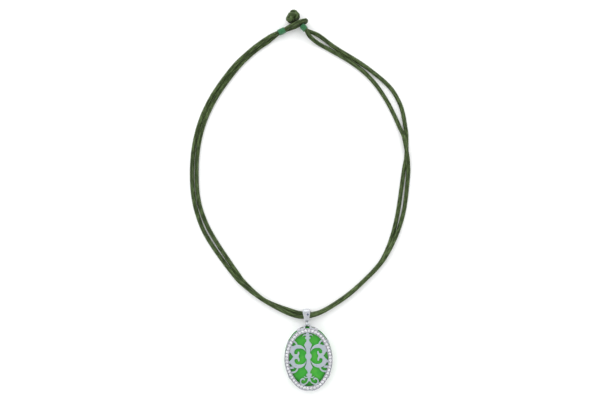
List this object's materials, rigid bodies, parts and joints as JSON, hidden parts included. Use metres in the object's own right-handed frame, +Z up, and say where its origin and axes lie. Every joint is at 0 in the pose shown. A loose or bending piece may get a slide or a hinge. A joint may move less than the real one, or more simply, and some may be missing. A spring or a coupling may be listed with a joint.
{
  "type": "charm necklace",
  "caption": "Silk cord necklace laid flat, with a button-knot clasp, a bail and an oval green jade pendant under white-metal openwork with a pave rim.",
  "frame": {"origin": "on the surface the necklace lies on, under the middle of the pendant with its bail", "axes": "+Y from the pendant towards the clasp, +Z up out of the pendant's front face, +X to the right seen from the front"},
  "size_m": [0.1154, 0.1986, 0.0085],
  "materials": {
    "silk": "satin silk cord with fine streaks",
    "thread": "wound silk thread",
    "polished_metal": "polished white metal",
    "satin_metal": "satin white metal",
    "jade": "polished, mottled",
    "clear_stone": "faceted, clear",
    "blue_stone": "faceted, dark"
  },
  "bodies": {
    "root": {"cord_upper": "silk", "cord_lower": "silk", "cord_loop": "silk", "button_knot": "silk", "wrap_left": "thread", "wrap_right": "thread", "bail": "polished_metal", "bail_stone": "blue_stone", "link_ring": "polished_metal", "pendant_frame": "satin_metal", "jade": "jade", "pave_stones": "clear_stone"}
  },
  "joints": []
}
